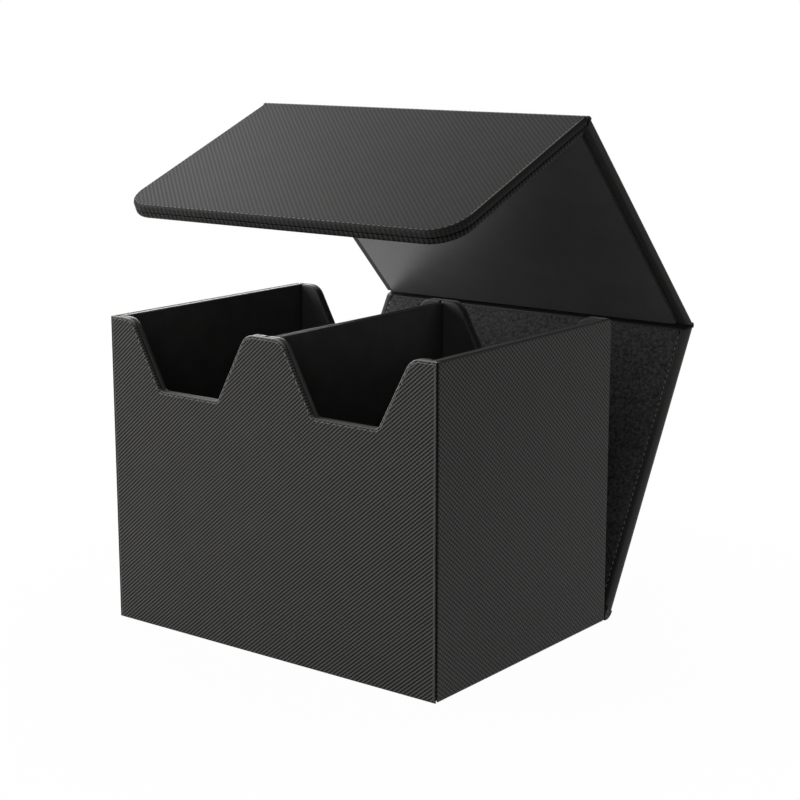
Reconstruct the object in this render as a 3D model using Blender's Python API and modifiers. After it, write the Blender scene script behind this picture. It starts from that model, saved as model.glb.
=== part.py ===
"""A two-row storage case for graded trading cards, standing open.

The body is a box of wrapped boards with a lining board behind each wall, two rows parted by a
pair of divider boards, and deep sloped notches in the front and rear walls. The cover is a rear
panel, a top panel and a front flap, one behind the other, joined by folds of the covering.

Frame: metres, X to the right, the front towards -Y, Z up, with the origin under the middle of
the box. Each cover panel is modelled in the frame of the fold that it turns on: Y runs away from
the fold along the outer face, and Z goes inwards through the board.
"""

import math

import bmesh
import bpy
from mathutils import Matrix, Vector

# The box
BOX_WIDTH = 0.1945
BOX_DEPTH = 0.1388
BOX_HEIGHT = 0.1500
WALL_THICKNESS = 0.0023
LINING_THICKNESS = 0.0026
DIVIDER_THICKNESS = 0.0020
DIVIDER_DROP = 0.0010
BASE_THICKNESS = 0.0030
FLOOR_LINING_THICKNESS = 0.0015
WALL_EDGE_RADIUS = 0.0010
LINING_EDGE_RADIUS = 0.0009

# The notches in the front and rear walls
SIDE_TAB_WIDTH = 0.0145
MIDDLE_TAB_WIDTH = 0.0220
NOTCH_DEPTH = 0.0330
NOTCH_SLOPE = math.radians(28.2)
TAB_CORNER_RADIUS = 0.0080
NOTCH_CORNER_RADIUS = 0.0030

# The cover
REAR_BOARD_THICKNESS = 0.0037
REAR_FELT_THICKNESS = 0.0007
REAR_FELT_MARGIN = 0.0040
TOP_BOARD_THICKNESS = 0.0033
TOP_LINING_THICKNESS = 0.0020
TOP_LINING_SIDE_MARGIN = 0.0060
TOP_LINING_END_MARGIN = 0.0010
FLAP_LENGTH = 0.1150
FLAP_BOARD_THICKNESS = 0.0035
FLAP_LINING_THICKNESS = 0.0030
FLAP_CORNER_RADIUS = 0.0100
FLAP_CLEARANCE = 0.0020
COVER_EDGE_RADIUS = 0.0012
FELT_EDGE_RADIUS = 0.0002

# How far each fold stands open from the closed case
REAR_OPENING = math.radians(29.2)
TOP_OPENING = math.radians(17.2)
FLAP_OPENING = math.radians(21.1)

# The folds: strips of covering that join the mitred ends of two boards on the outside
MITRE_CLEARANCE = 0.0006
FOLD_CLEARANCE = 0.0005
SKIN_THICKNESS = 0.0012
FOLD_LAP = 0.0003
TOP_FOLD_RADIUS = 0.0016
FLAP_FOLD_RADIUS = 0.0034
FOOT_RADIUS = 0.0060
FOOT_FLANGE_WIDTH = 0.0090
FOOT_FLANGE_THICKNESS = 0.0010
FOOT_FELT_RISE = 0.0030

# The closing magnets
MAGNET_RADIUS = 0.0060
MAGNET_THICKNESS = 0.0015
MAGNET_END_DISTANCE = 0.0160

# Between pieces, and past a face that is cut
GAP = 0.0003
OVERRUN = 0.0010

ARC_STEPS = 7
EDGE_STEPS = 3
MAGNET_SIDES = 32
SHARP_ANGLE = math.radians(35)
FLAT_ANGLE = math.radians(1)

# Worked out from the sizes above
HALF_WIDTH = BOX_WIDTH / 2
HALF_DEPTH = BOX_DEPTH / 2
PANEL_HALF_WIDTH = HALF_WIDTH - WALL_THICKNESS - GAP
LINING_FRONT = -HALF_DEPTH + WALL_THICKNESS + GAP
ROW_OUTER_X = HALF_WIDTH - WALL_THICKNESS - GAP - LINING_THICKNESS
ROW_INNER_X = GAP / 2 + DIVIDER_THICKNESS
ROW_HALF_DEPTH = -LINING_FRONT - LINING_THICKNESS
FLOOR_Z = BASE_THICKNESS + GAP
NOTCH_TOP_WIDTH = HALF_WIDTH - SIDE_TAB_WIDTH - MIDDLE_TAB_WIDTH / 2
NOTCH_CENTRE_X = HALF_WIDTH - SIDE_TAB_WIDTH - NOTCH_TOP_WIDTH / 2
NOTCH_FLOOR_WIDTH = NOTCH_TOP_WIDTH - 2 * NOTCH_DEPTH * math.tan(NOTCH_SLOPE)
NOTCH_FLOOR_Z = BOX_HEIGHT - NOTCH_DEPTH
# How far a wall stops short of its corner, so that two mitred ends lie a gap apart
SEAM_SETBACK = GAP / math.sqrt(2)
MAGNET_POCKET_DEPTH = MAGNET_THICKNESS + GAP
REAR_THICKNESS = REAR_BOARD_THICKNESS + GAP + REAR_FELT_THICKNESS
TOP_THICKNESS = TOP_BOARD_THICKNESS + GAP + TOP_LINING_THICKNESS
FLAP_THICKNESS = FLAP_BOARD_THICKNESS + GAP + FLAP_LINING_THICKNESS
REAR_LENGTH = BOX_HEIGHT + GAP + TOP_THICKNESS
REAR_FOLD_Y = HALF_DEPTH + GAP + REAR_THICKNESS
TOP_LENGTH = REAR_FOLD_Y + HALF_DEPTH + FLAP_CLEARANCE + FLAP_THICKNESS
QUARTER_TURN = math.pi / 2
REAR_ANGLE = QUARTER_TURN - REAR_OPENING
TOP_TURN = QUARTER_TURN - TOP_OPENING
FLAP_TURN = QUARTER_TURN - FLAP_OPENING
# From the sharp corner of a fold to the edge of the board, past the rounded covering
TOP_REACH = TOP_FOLD_RADIUS * math.tan(TOP_TURN / 2) + FOLD_LAP + FOLD_CLEARANCE
FLAP_REACH = FLAP_FOLD_RADIUS * math.tan(FLAP_TURN / 2) + FOLD_LAP + FOLD_CLEARANCE
FOOT_REACH = FOOT_RADIUS * math.tan(REAR_ANGLE / 2) + FOLD_LAP + FOLD_CLEARANCE
# The magnets meet when the flap hangs closed, its fold level with the top of the cover
MAGNET_FLAP_Y = FLAP_LENGTH - MAGNET_END_DISTANCE
MAGNET_WALL_Z = REAR_LENGTH - MAGNET_FLAP_Y


def clear_scene():
    for old in list(bpy.data.objects):
        bpy.data.objects.remove(old, do_unlink=True)


def new_collection(name):
    made = bpy.data.collections.new(name)
    bpy.context.scene.collection.children.link(made)
    return made


def new_material(name, colour, roughness, metallic=0.0):
    material = bpy.data.materials.new(name)
    material.use_nodes = True
    shader = material.node_tree.nodes["Principled BSDF"]
    shader.inputs["Base Color"].default_value = (*colour, 1.0)
    shader.inputs["Roughness"].default_value = roughness
    shader.inputs["Metallic"].default_value = metallic
    material.diffuse_color = (*colour, 1.0)
    return material


def rounded(corners):
    """The points of a closed outline whose corners, (x, y, radius), are rounded by arcs."""
    points = []
    for index, (x, y, radius) in enumerate(corners):
        here = Vector((x, y))
        before = (Vector(corners[index - 1][:2]) - here).normalized()
        after = (Vector(corners[(index + 1) % len(corners)][:2]) - here).normalized()
        if radius == 0:
            points.append(here)
            continue
        half_angle = before.angle(after) / 2
        centre = here + (before + after).normalized() * radius / math.sin(half_angle)
        start = here + before * radius / math.tan(half_angle) - centre
        turn = start.angle_signed(here + after * radius / math.tan(half_angle) - centre)
        for step in range(ARC_STEPS + 1):
            points.append(centre + Matrix.Rotation(-turn * step / ARC_STEPS, 2) @ start)
    return points


def outline_mesh(name, points, thickness):
    """A flat outline in XY as a closed mesh, half its thickness to each side of the plane."""
    curve = bpy.data.curves.new(name, "CURVE")
    curve.dimensions = "2D"
    curve.fill_mode = "BOTH"
    curve.extrude = thickness / 2
    spline = curve.splines.new("POLY")
    spline.points.add(len(points) - 1)
    for place, (x, y) in zip(spline.points, points):
        place.co = (x, y, 0, 1)
    spline.use_cyclic_u = True
    guide = bpy.data.objects.new(name + "_outline", curve)
    bpy.context.scene.collection.objects.link(guide)
    bpy.context.view_layer.update()
    mesh = bpy.data.meshes.new_from_object(guide.evaluated_get(bpy.context.evaluated_depsgraph_get()))
    bpy.data.objects.remove(guide, do_unlink=True)
    mesh.name = name
    shape = bmesh.new()
    shape.from_mesh(mesh)
    bmesh.ops.remove_doubles(shape, verts=shape.verts, dist=GAP / 100)
    bmesh.ops.dissolve_limit(
        shape, angle_limit=FLAT_ANGLE, verts=shape.verts, edges=shape.edges
    )
    bmesh.ops.recalc_face_normals(shape, faces=shape.faces)
    shape.to_mesh(mesh)
    shape.free()
    return mesh


def upright(mesh, middle_y):
    """Stands an XY outline up in the XZ plane, with its thickness about the given Y."""
    mesh.transform(Matrix.Translation((0, middle_y, 0)) @ Matrix.Rotation(QUARTER_TURN, 4, "X"))
    return mesh


def across(mesh):
    """Turns an outline in XY into a profile in YZ that runs across the case along X."""
    mesh.transform(Matrix(((0, 0, 1, 0), (1, 0, 0, 0), (0, 1, 0, 0), (0, 0, 0, 1))))
    return mesh


def box_mesh(name, low, high):
    low = Vector(low)
    high = Vector(high)
    shape = bmesh.new()
    bmesh.ops.create_cube(shape, size=1)
    size = Matrix.Diagonal((*(high - low), 1))
    shape.transform(Matrix.Translation((low + high) / 2) @ size)
    mesh = bpy.data.meshes.new(name)
    shape.to_mesh(mesh)
    shape.free()
    return mesh


def disc_mesh(name, radius, depth):
    shape = bmesh.new()
    bmesh.ops.create_cone(
        shape, cap_ends=True, segments=MAGNET_SIDES, radius1=radius, radius2=radius, depth=depth
    )
    mesh = bpy.data.meshes.new(name)
    shape.to_mesh(mesh)
    shape.free()
    return mesh


def round_edges(piece, radius):
    bevel = piece.modifiers.new("Edges", "BEVEL")
    bevel.width = radius
    bevel.segments = EDGE_STEPS
    bevel.limit_method = "ANGLE"
    bevel.angle_limit = SHARP_ANGLE
    piece.data.shade_smooth()
    piece.data.set_sharp_from_angle(angle=SHARP_ANGLE)


def add_piece(name, mesh, material, parent=None, edge_radius=0):
    piece = bpy.data.objects.new(name, mesh)
    CASE.objects.link(piece)
    mesh.materials.append(material)
    piece.parent = parent
    if edge_radius:
        round_edges(piece, edge_radius)
    return piece


def cut_away(piece, name, mesh, place=(0, 0, 0)):
    """Cuts a shape, given in the piece's own frame, out of the piece."""
    cutter = bpy.data.objects.new(name, mesh)
    CUTTERS.objects.link(cutter)
    cutter.parent = piece.parent
    cutter.location = place
    cutter.hide_render = True
    cutter.display_type = "WIRE"
    cut = piece.modifiers.new(name, "BOOLEAN")
    cut.operation = "DIFFERENCE"
    cut.solver = "EXACT"
    cut.object = cutter


def fold_axis(name, location, angle, parent=None):
    """An empty on a fold's axis, turned so that its Y runs along the panel that it carries."""
    empty = bpy.data.objects.new(name, None)
    empty.empty_display_size = SIDE_TAB_WIDTH
    CASE.objects.link(empty)
    empty.parent = parent
    empty.location = location
    empty.rotation_euler.x = angle
    return empty


# The box's walls, base and linings


def notch_corners(centre_x):
    """One notch from right to left, as corners of a wall's outline."""
    top = NOTCH_TOP_WIDTH / 2
    floor = NOTCH_FLOOR_WIDTH / 2
    return [
        (centre_x + top, BOX_HEIGHT, TAB_CORNER_RADIUS),
        (centre_x + floor, NOTCH_FLOOR_Z, NOTCH_CORNER_RADIUS),
        (centre_x - floor, NOTCH_FLOOR_Z, NOTCH_CORNER_RADIUS),
        (centre_x - top, BOX_HEIGHT, TAB_CORNER_RADIUS),
    ]


def notched_board(name, left, right, bottom, notch_centres, thickness, middle_y):
    corners = [(left, bottom, 0), (right, bottom, 0), (right, BOX_HEIGHT, 0)]
    for centre_x in notch_centres:
        corners += notch_corners(centre_x)
    corners.append((left, BOX_HEIGHT, 0))
    return upright(outline_mesh(name, rounded(corners), thickness), middle_y)


def mitre_ends(mesh, middle_y, half_width):
    """Draws the ends of a wall's inner face in by the wall's thickness."""
    for vert in mesh.vertices:
        inside = abs(vert.co.y) < abs(middle_y)
        if inside and abs(vert.co.x) > half_width - GAP:
            vert.co.x -= math.copysign(WALL_THICKNESS, vert.co.x)


def build_walls():
    """The four walls, mitred where they meet, with rounded edges that leave a groove there."""
    end_y = HALF_DEPTH - SEAM_SETBACK
    for side, name in ((-1, "left_wall"), (1, "right_wall")):
        outer_x = side * HALF_WIDTH
        inner_x = side * (HALF_WIDTH - WALL_THICKNESS)
        plan = [
            (outer_x, -end_y),
            (outer_x, end_y),
            (inner_x, end_y - WALL_THICKNESS),
            (inner_x, WALL_THICKNESS - end_y),
        ]
        mesh = outline_mesh(name, plan, BOX_HEIGHT)
        mesh.transform(Matrix.Translation((0, 0, BOX_HEIGHT / 2)))
        add_piece(name, mesh, SIDE_COVERING, edge_radius=WALL_EDGE_RADIUS)
    centres = (NOTCH_CENTRE_X, -NOTCH_CENTRE_X)
    middle_y = HALF_DEPTH - WALL_THICKNESS / 2
    half_width = HALF_WIDTH - SEAM_SETBACK
    rear_bottom = FOOT_FLANGE_THICKNESS + GAP
    for name, y, bottom in (("front_wall", -middle_y, 0), ("rear_wall", middle_y, rear_bottom)):
        mesh = notched_board(name, -half_width, half_width, bottom, centres, WALL_THICKNESS, y)
        mitre_ends(mesh, y, half_width)
        add_piece(name, mesh, FRONT_COVERING, edge_radius=WALL_EDGE_RADIUS)


def build_base():
    """The board between the walls, its rear edge raised over the cover's glued-on flange."""
    front_y = LINING_FRONT
    rear_y = -LINING_FRONT
    rebate_y = HALF_DEPTH - FOOT_FLANGE_WIDTH - GAP
    rebate_z = FOOT_FLANGE_THICKNESS + GAP
    profile = [
        (front_y, 0),
        (rebate_y, 0),
        (rebate_y, rebate_z),
        (rear_y, rebate_z),
        (rear_y, BASE_THICKNESS),
        (front_y, BASE_THICKNESS),
    ]
    mesh = across(outline_mesh("base_board", profile, 2 * PANEL_HALF_WIDTH))
    add_piece("base_board", mesh, BASE_COVERING)


def build_row(side, row):
    """The linings of one row, the side of the divider that faces it and its closing magnet."""
    wall_x = side * PANEL_HALF_WIDTH
    outer_x = side * ROW_OUTER_X
    inner_x = side * ROW_INNER_X
    seam_x = side * GAP / 2
    lining_rear = -LINING_FRONT

    def lining(piece, x_a, x_b, low_y, high_y, top_z):
        name = f"{row}_{piece}"
        low = (min(x_a, x_b), low_y, FLOOR_Z)
        high = (max(x_a, x_b), high_y, top_z)
        add_piece(name, box_mesh(name, low, high), LINING, edge_radius=LINING_EDGE_RADIUS)

    lining("side_lining", wall_x, outer_x, LINING_FRONT, lining_rear, BOX_HEIGHT)
    row_y = ROW_HALF_DEPTH - GAP
    lining("divider_board", inner_x, seam_x, -row_y, row_y, BOX_HEIGHT - DIVIDER_DROP)
    name = f"{row}_floor_lining"
    low_x, high_x = sorted((outer_x - side * GAP, inner_x + side * GAP))
    low = (low_x, -row_y, FLOOR_Z)
    high = (high_x, row_y, FLOOR_Z + FLOOR_LINING_THICKNESS)
    add_piece(name, box_mesh(name, low, high), LINING)

    low_x, high_x = sorted((outer_x - side * GAP, seam_x))
    centre = side * NOTCH_CENTRE_X
    middle_y = ROW_HALF_DEPTH + LINING_THICKNESS / 2
    for place, y in (("front", -middle_y), ("rear", middle_y)):
        name = f"{row}_{place}_lining"
        mesh = notched_board(name, low_x, high_x, FLOOR_Z, (centre,), LINING_THICKNESS, y)
        piece = add_piece(name, mesh, LINING, edge_radius=LINING_EDGE_RADIUS)
        if place == "front":
            cut_magnet_pocket(piece, row, centre)
    magnet = add_piece(f"{row}_wall_magnet", disc_mesh("magnet", MAGNET_RADIUS, MAGNET_THICKNESS), STEEL)
    magnet.location = (centre, LINING_FRONT + GAP / 2 + MAGNET_THICKNESS / 2, MAGNET_WALL_Z)
    magnet.rotation_euler.x = QUARTER_TURN


def cut_magnet_pocket(piece, row, centre):
    """A pocket in the face of the lining that the front wall covers."""
    depth = MAGNET_POCKET_DEPTH + OVERRUN
    pocket = disc_mesh(f"{row}_wall_pocket", MAGNET_RADIUS + GAP, depth)
    pocket.transform(Matrix.Rotation(QUARTER_TURN, 4, "X"))
    place = (centre, LINING_FRONT + MAGNET_POCKET_DEPTH - depth / 2, MAGNET_WALL_Z)
    cut_away(piece, pocket.name, pocket, place)


# The cover's panels, each in the frame of its own fold


def mitred_end(thickness, reach):
    """(distance from the fold, depth) down a board's end, from its outer face to its inner one."""
    return [
        (reach, 0),
        (SKIN_THICKNESS + MITRE_CLEARANCE, SKIN_THICKNESS),
        (thickness + MITRE_CLEARANCE, thickness),
    ]


def panel_mesh(name, length, thickness, near_reach, far_reach=None):
    """A board across the case. It is mitred at both ends, or square at the far one."""
    near = mitred_end(thickness, near_reach)
    if far_reach is None:
        far = [(0, 0), (0, thickness)]
    else:
        far = mitred_end(thickness, far_reach)
    profile = [(length - along, depth) for along, depth in far]
    profile += list(reversed(near))
    return across(outline_mesh(name, list(reversed(profile)), BOX_WIDTH))


def slab_mesh(name, half_width, start, end, low, high):
    return box_mesh(name, (-half_width, start, low), (half_width, end, high))


def round_far_corners(mesh, end, radius):
    """Rounds the two corners at the free end, as seen from above the panel."""
    shape = bmesh.new()
    shape.from_mesh(mesh)
    corners = []
    for edge in shape.edges:
        ends = [vert.co for vert in edge.verts]
        at_end = all(abs(place.y - end) < GAP for place in ends)
        if at_end and abs(ends[0].x - ends[1].x) < GAP:
            corners.append(edge)
    bmesh.ops.bevel(
        shape, geom=corners, offset=radius, segments=2 * ARC_STEPS, profile=0.5, affect="EDGES"
    )
    shape.to_mesh(mesh)
    shape.free()


def build_rear_panel(axis):
    mesh = panel_mesh("rear_panel", REAR_LENGTH, REAR_BOARD_THICKNESS, FOOT_REACH, TOP_REACH)
    add_piece("rear_panel", mesh, COVER_COVERING, axis, COVER_EDGE_RADIUS)
    start = REAR_THICKNESS + MITRE_CLEARANCE
    low = REAR_BOARD_THICKNESS + GAP
    half_width = HALF_WIDTH - REAR_FELT_MARGIN
    felt = slab_mesh(
        "rear_panel_felt", half_width, start, REAR_LENGTH - start, low, REAR_THICKNESS
    )
    add_piece("rear_panel_felt", felt, FELT, axis, FELT_EDGE_RADIUS)


def build_top_panel(axis):
    mesh = panel_mesh("top_panel", TOP_LENGTH, TOP_BOARD_THICKNESS, TOP_REACH, FLAP_REACH)
    add_piece("top_panel", mesh, COVER_COVERING, axis, COVER_EDGE_RADIUS)
    start = TOP_THICKNESS + MITRE_CLEARANCE + TOP_LINING_END_MARGIN
    low = TOP_BOARD_THICKNESS + GAP
    half_width = HALF_WIDTH - TOP_LINING_SIDE_MARGIN
    board = slab_mesh(
        "top_panel_lining", half_width, start, TOP_LENGTH - start, low, TOP_THICKNESS
    )
    add_piece("top_panel_lining", board, SMOOTH_LINING, axis, LINING_EDGE_RADIUS)


def build_flap(axis):
    mesh = panel_mesh("flap_panel", FLAP_LENGTH, FLAP_BOARD_THICKNESS, FLAP_REACH)
    round_far_corners(mesh, FLAP_LENGTH, FLAP_CORNER_RADIUS)
    add_piece("flap_panel", mesh, COVER_COVERING, axis, COVER_EDGE_RADIUS)
    start = FLAP_THICKNESS + MITRE_CLEARANCE
    low = FLAP_BOARD_THICKNESS + GAP
    mesh = slab_mesh("flap_lining", HALF_WIDTH, start, FLAP_LENGTH, low, FLAP_THICKNESS)
    round_far_corners(mesh, FLAP_LENGTH, FLAP_CORNER_RADIUS)
    lining = add_piece("flap_lining", mesh, FLAP_COVERING, axis, COVER_EDGE_RADIUS)
    for side, row in ((-1, "left"), (1, "right")):
        x = side * NOTCH_CENTRE_X
        depth = MAGNET_POCKET_DEPTH + OVERRUN
        pocket = disc_mesh(f"{row}_flap_pocket", MAGNET_RADIUS + GAP, depth)
        cut_away(lining, pocket.name, pocket, (x, MAGNET_FLAP_Y, low - OVERRUN + depth / 2))
        disc = disc_mesh("magnet", MAGNET_RADIUS, MAGNET_THICKNESS)
        magnet = add_piece(f"{row}_flap_magnet", disc, STEEL, axis)
        magnet.location = (x, MAGNET_FLAP_Y, low + GAP / 2 + MAGNET_THICKNESS / 2)


# The folds of covering between the panels


def seat_end(thickness, reach):
    """The side of a fold that faces a board's mitred end, a clearance away from it."""
    return [(along - FOLD_CLEARANCE, depth) for along, depth in mitred_end(thickness, reach)]


def spine_fold(name, axis, turn, reach, radius):
    """The fold between two panels, in the frame of the one that the axis carries.

    The covering rounds the corner outside. Behind it the mitred ends of the boards stand open,
    and they meet when the cover is shut.
    """
    back = Matrix.Rotation(math.pi - turn, 2)

    def near(along, depth):
        """From the panel that turns on this axis."""
        return Vector((along, depth))

    def far(along, depth):
        """From the panel before the fold, which leaves it at the angle between the two."""
        return back @ Vector((along, -depth))

    far_side = [far(*place) for place in seat_end(SKIN_THICKNESS, reach)]
    near_side = [near(*place) for place in seat_end(SKIN_THICKNESS, reach)]
    inner_along = SKIN_THICKNESS * math.tan(turn / 2)
    corners = [(*far_side[0], 0), (0, 0, radius), (*near_side[0], 0)]
    corners += [(*near_side[1], 0), (inner_along, SKIN_THICKNESS, 0), (*far_side[1], 0)]
    mesh = across(outline_mesh(name, rounded(corners), BOX_WIDTH))
    add_piece(name, mesh, COVER_COVERING, axis)


def foot_fold():
    """The fold behind the box's foot, glued under the base by a flange and up to the rear panel."""
    along_panel = Matrix.Rotation(REAR_ANGLE, 2)
    corner = Vector((REAR_FOLD_Y, 0))
    side = [
        corner + along_panel @ Vector(place) for place in seat_end(REAR_THICKNESS, FOOT_REACH)
    ]
    behind_wall = HALF_DEPTH + GAP
    corners = [(HALF_DEPTH - FOOT_FLANGE_WIDTH, 0, 0), (*corner, FOOT_RADIUS)]
    corners += [(*place, 0) for place in side]
    corners += [
        (behind_wall, FOOT_FELT_RISE, 0),
        (behind_wall, FOOT_FLANGE_THICKNESS, 0),
        (HALF_DEPTH - FOOT_FLANGE_WIDTH, FOOT_FLANGE_THICKNESS, 0),
    ]
    mesh = across(outline_mesh("foot_fold", rounded(corners), BOX_WIDTH))
    piece = add_piece("foot_fold", mesh, COVER_COVERING)
    for sign, name in ((-1, "left_flange_end"), (1, "right_flange_end")):
        low_x, high_x = sorted((sign * PANEL_HALF_WIDTH, sign * (HALF_WIDTH + OVERRUN)))
        low = (low_x, -HALF_DEPTH, -OVERRUN)
        high = (high_x, behind_wall, FOOT_FELT_RISE + OVERRUN)
        cut_away(piece, name, box_mesh(name, low, high))


clear_scene()
CASE = new_collection("graded card storage case")
CUTTERS = new_collection("cutters")
FRONT_COVERING = new_material("front covering", (0.034, 0.033, 0.031), 0.55)
SIDE_COVERING = new_material("side covering", (0.034, 0.033, 0.031), 0.55)
COVER_COVERING = new_material("cover covering", (0.040, 0.039, 0.037), 0.55)
FLAP_COVERING = new_material("flap underside", (0.030, 0.029, 0.028), 0.60)
BASE_COVERING = new_material("base covering", (0.020, 0.020, 0.020), 0.80)
LINING = new_material("row lining", (0.012, 0.012, 0.012), 0.85)
SMOOTH_LINING = new_material("top panel lining", (0.022, 0.022, 0.023), 0.40)
FELT = new_material("felt", (0.030, 0.030, 0.030), 0.95)
STEEL = new_material("magnet", (0.55, 0.55, 0.56), 0.30, 1.0)

build_walls()
build_base()
build_row(-1, "left")
build_row(1, "right")
foot_fold()
REAR_AXIS = fold_axis("rear_fold_axis", (0, REAR_FOLD_Y, 0), REAR_ANGLE)
build_rear_panel(REAR_AXIS)
TOP_AXIS = fold_axis("top_fold_axis", (0, REAR_LENGTH, 0), TOP_TURN, REAR_AXIS)
build_top_panel(TOP_AXIS)
spine_fold("top_fold", TOP_AXIS, TOP_TURN, TOP_REACH, TOP_FOLD_RADIUS)
FLAP_AXIS = fold_axis("flap_fold_axis", (0, TOP_LENGTH, 0), FLAP_TURN, TOP_AXIS)
build_flap(FLAP_AXIS)
spine_fold("flap_fold", FLAP_AXIS, FLAP_TURN, FLAP_REACH, FLAP_FOLD_RADIUS)
bpy.context.view_layer.update()
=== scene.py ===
# %% [markdown]
# # A graded card storage case, standing open
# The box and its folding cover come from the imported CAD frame. This lesson adds what the eye
# reads first: the woven black covering with its sewn and rolled edges, the soft borders of the
# cover, the felt, the bending folds, and a white studio round it all. Everything is in metres,
# X to the right, the front towards -Y and Z up.

import math

import bmesh
import bpy
from mathutils import Matrix, Vector


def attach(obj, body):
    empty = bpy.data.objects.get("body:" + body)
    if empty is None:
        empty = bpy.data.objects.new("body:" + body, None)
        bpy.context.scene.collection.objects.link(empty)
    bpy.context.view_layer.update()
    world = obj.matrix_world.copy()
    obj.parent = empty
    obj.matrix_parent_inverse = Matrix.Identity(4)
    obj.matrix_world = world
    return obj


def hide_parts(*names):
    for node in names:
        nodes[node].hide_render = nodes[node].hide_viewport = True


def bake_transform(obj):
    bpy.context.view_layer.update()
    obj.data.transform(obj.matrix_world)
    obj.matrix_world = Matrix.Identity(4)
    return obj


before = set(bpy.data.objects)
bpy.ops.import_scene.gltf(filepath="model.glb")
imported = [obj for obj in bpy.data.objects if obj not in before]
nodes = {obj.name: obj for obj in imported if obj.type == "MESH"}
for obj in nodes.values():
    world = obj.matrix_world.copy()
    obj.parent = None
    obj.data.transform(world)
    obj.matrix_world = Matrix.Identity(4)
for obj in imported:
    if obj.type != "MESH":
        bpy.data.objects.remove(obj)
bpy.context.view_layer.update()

# %% [markdown]
# ## The camera
# The photograph was taken from a little above the rim and to the right of the front, with a
# long lens. A camera looks straight down when it isn't turned, so it is leant back by X and
# then swung round the case by Z.

# %% The camera
CAMERA_AZIMUTH = math.radians(37.571)
CAMERA_ELEVATION = math.radians(12.062)
CAMERA_DISTANCE = 0.8607
CAMERA_TARGET = Vector((0.02405, 0.0, 0.1128))
LENS_LENGTH, SENSOR_WIDTH = 82.14, 36.0

bpy.ops.object.select_all(action="DESELECT")
bpy.ops.object.camera_add()
camera = bpy.context.object
camera.name = "camera"
camera.data.lens = LENS_LENGTH
camera.data.sensor_width = SENSOR_WIDTH
back = Vector((
    math.sin(CAMERA_AZIMUTH) * math.cos(CAMERA_ELEVATION),
    -math.cos(CAMERA_AZIMUTH) * math.cos(CAMERA_ELEVATION),
    math.sin(CAMERA_ELEVATION),
))
camera.location = CAMERA_TARGET + back * CAMERA_DISTANCE
camera.rotation_euler = (math.pi / 2 - CAMERA_ELEVATION, 0, CAMERA_AZIMUTH)
bpy.context.scene.camera = camera
print("camera at", [round(v, 3) for v in camera.location])

# %% [markdown]
# ## Sizes that the new pieces share
# Each wrapped board is made again here with softer edges, so it repeats the board's sizes. `GAP`
# is what is left between two boards, and `SKIN` is the covering's own thickness. A cover panel
# is described in its own fold's frame: Y runs along it and Z goes inwards.

# %% Sizes
HALF_WIDTH = 0.09725
HALF_DEPTH = 0.0694
BOX_HEIGHT = 0.1500
WALL_THICKNESS = 0.0023
GAP = 0.0003
SKIN = 0.0012
QUARTER_TURN = math.pi / 2
ARC_STEPS = 8

REAR_ANGLE = math.radians(60.8)
TOP_ANGLE = math.radians(133.6)
FLAP_ANGLE = math.radians(202.5)
REAR_LENGTH, TOP_LENGTH, FLAP_LENGTH = 0.1559, 0.1526, 0.1150


def panel_frame(corner, angle):
    return Matrix.Translation(corner) @ Matrix.Rotation(angle, 4, "X")


REAR_CORNER = Vector((0, 0.0744, 0))
REAR_FRAME = panel_frame(REAR_CORNER, REAR_ANGLE)
TOP_CORNER = REAR_FRAME @ Vector((0, REAR_LENGTH, 0))
TOP_FRAME = panel_frame(TOP_CORNER, TOP_ANGLE)
FLAP_CORNER = TOP_FRAME @ Vector((0, TOP_LENGTH, 0))
FLAP_FRAME = panel_frame(FLAP_CORNER, FLAP_ANGLE)
print("folds at", [[round(v, 4) for v in place] for place in (TOP_CORNER, FLAP_CORNER)])

# %% [markdown]
# ## Writing shaders as sums
# A shader is a formula drawn as boxes and wires. `Value` wraps one output socket and overloads
# the arithmetic, so that a weave can be written the way it would be on paper. `Recipe.node` adds
# any other node: its type, then its settings, then the numbers or links of its sockets.

# %% Shader maths


class Value:
    """One output of a node tree. Arithmetic on it adds the Math nodes that work it out."""

    def __init__(self, recipe, socket):
        self.recipe = recipe
        self.socket = socket

    def maths(self, operation, *others):
        terms = dict(enumerate((self, *others)))
        return self.recipe.node("ShaderNodeMath", {"operation": operation}, terms)

    def __add__(self, other):
        return self.maths("ADD", other)

    __radd__ = __add__

    def __sub__(self, other):
        return self.maths("SUBTRACT", other)

    def __rsub__(self, other):
        return self * -1 + other

    def __mul__(self, other):
        return self.maths("MULTIPLY", other)

    __rmul__ = __mul__

    def cosine(self):
        return self.maths("COSINE")

    def size(self):
        return self.maths("ABSOLUTE")

    def step(self, start, end):
        """Rises smoothly from 0 at start to 1 at end."""
        settings = {"interpolation_type": "SMOOTHSTEP"}
        sockets = {"Value": self, "From Min": start, "From Max": end}
        return self.recipe.node("ShaderNodeMapRange", settings, sockets)


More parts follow.
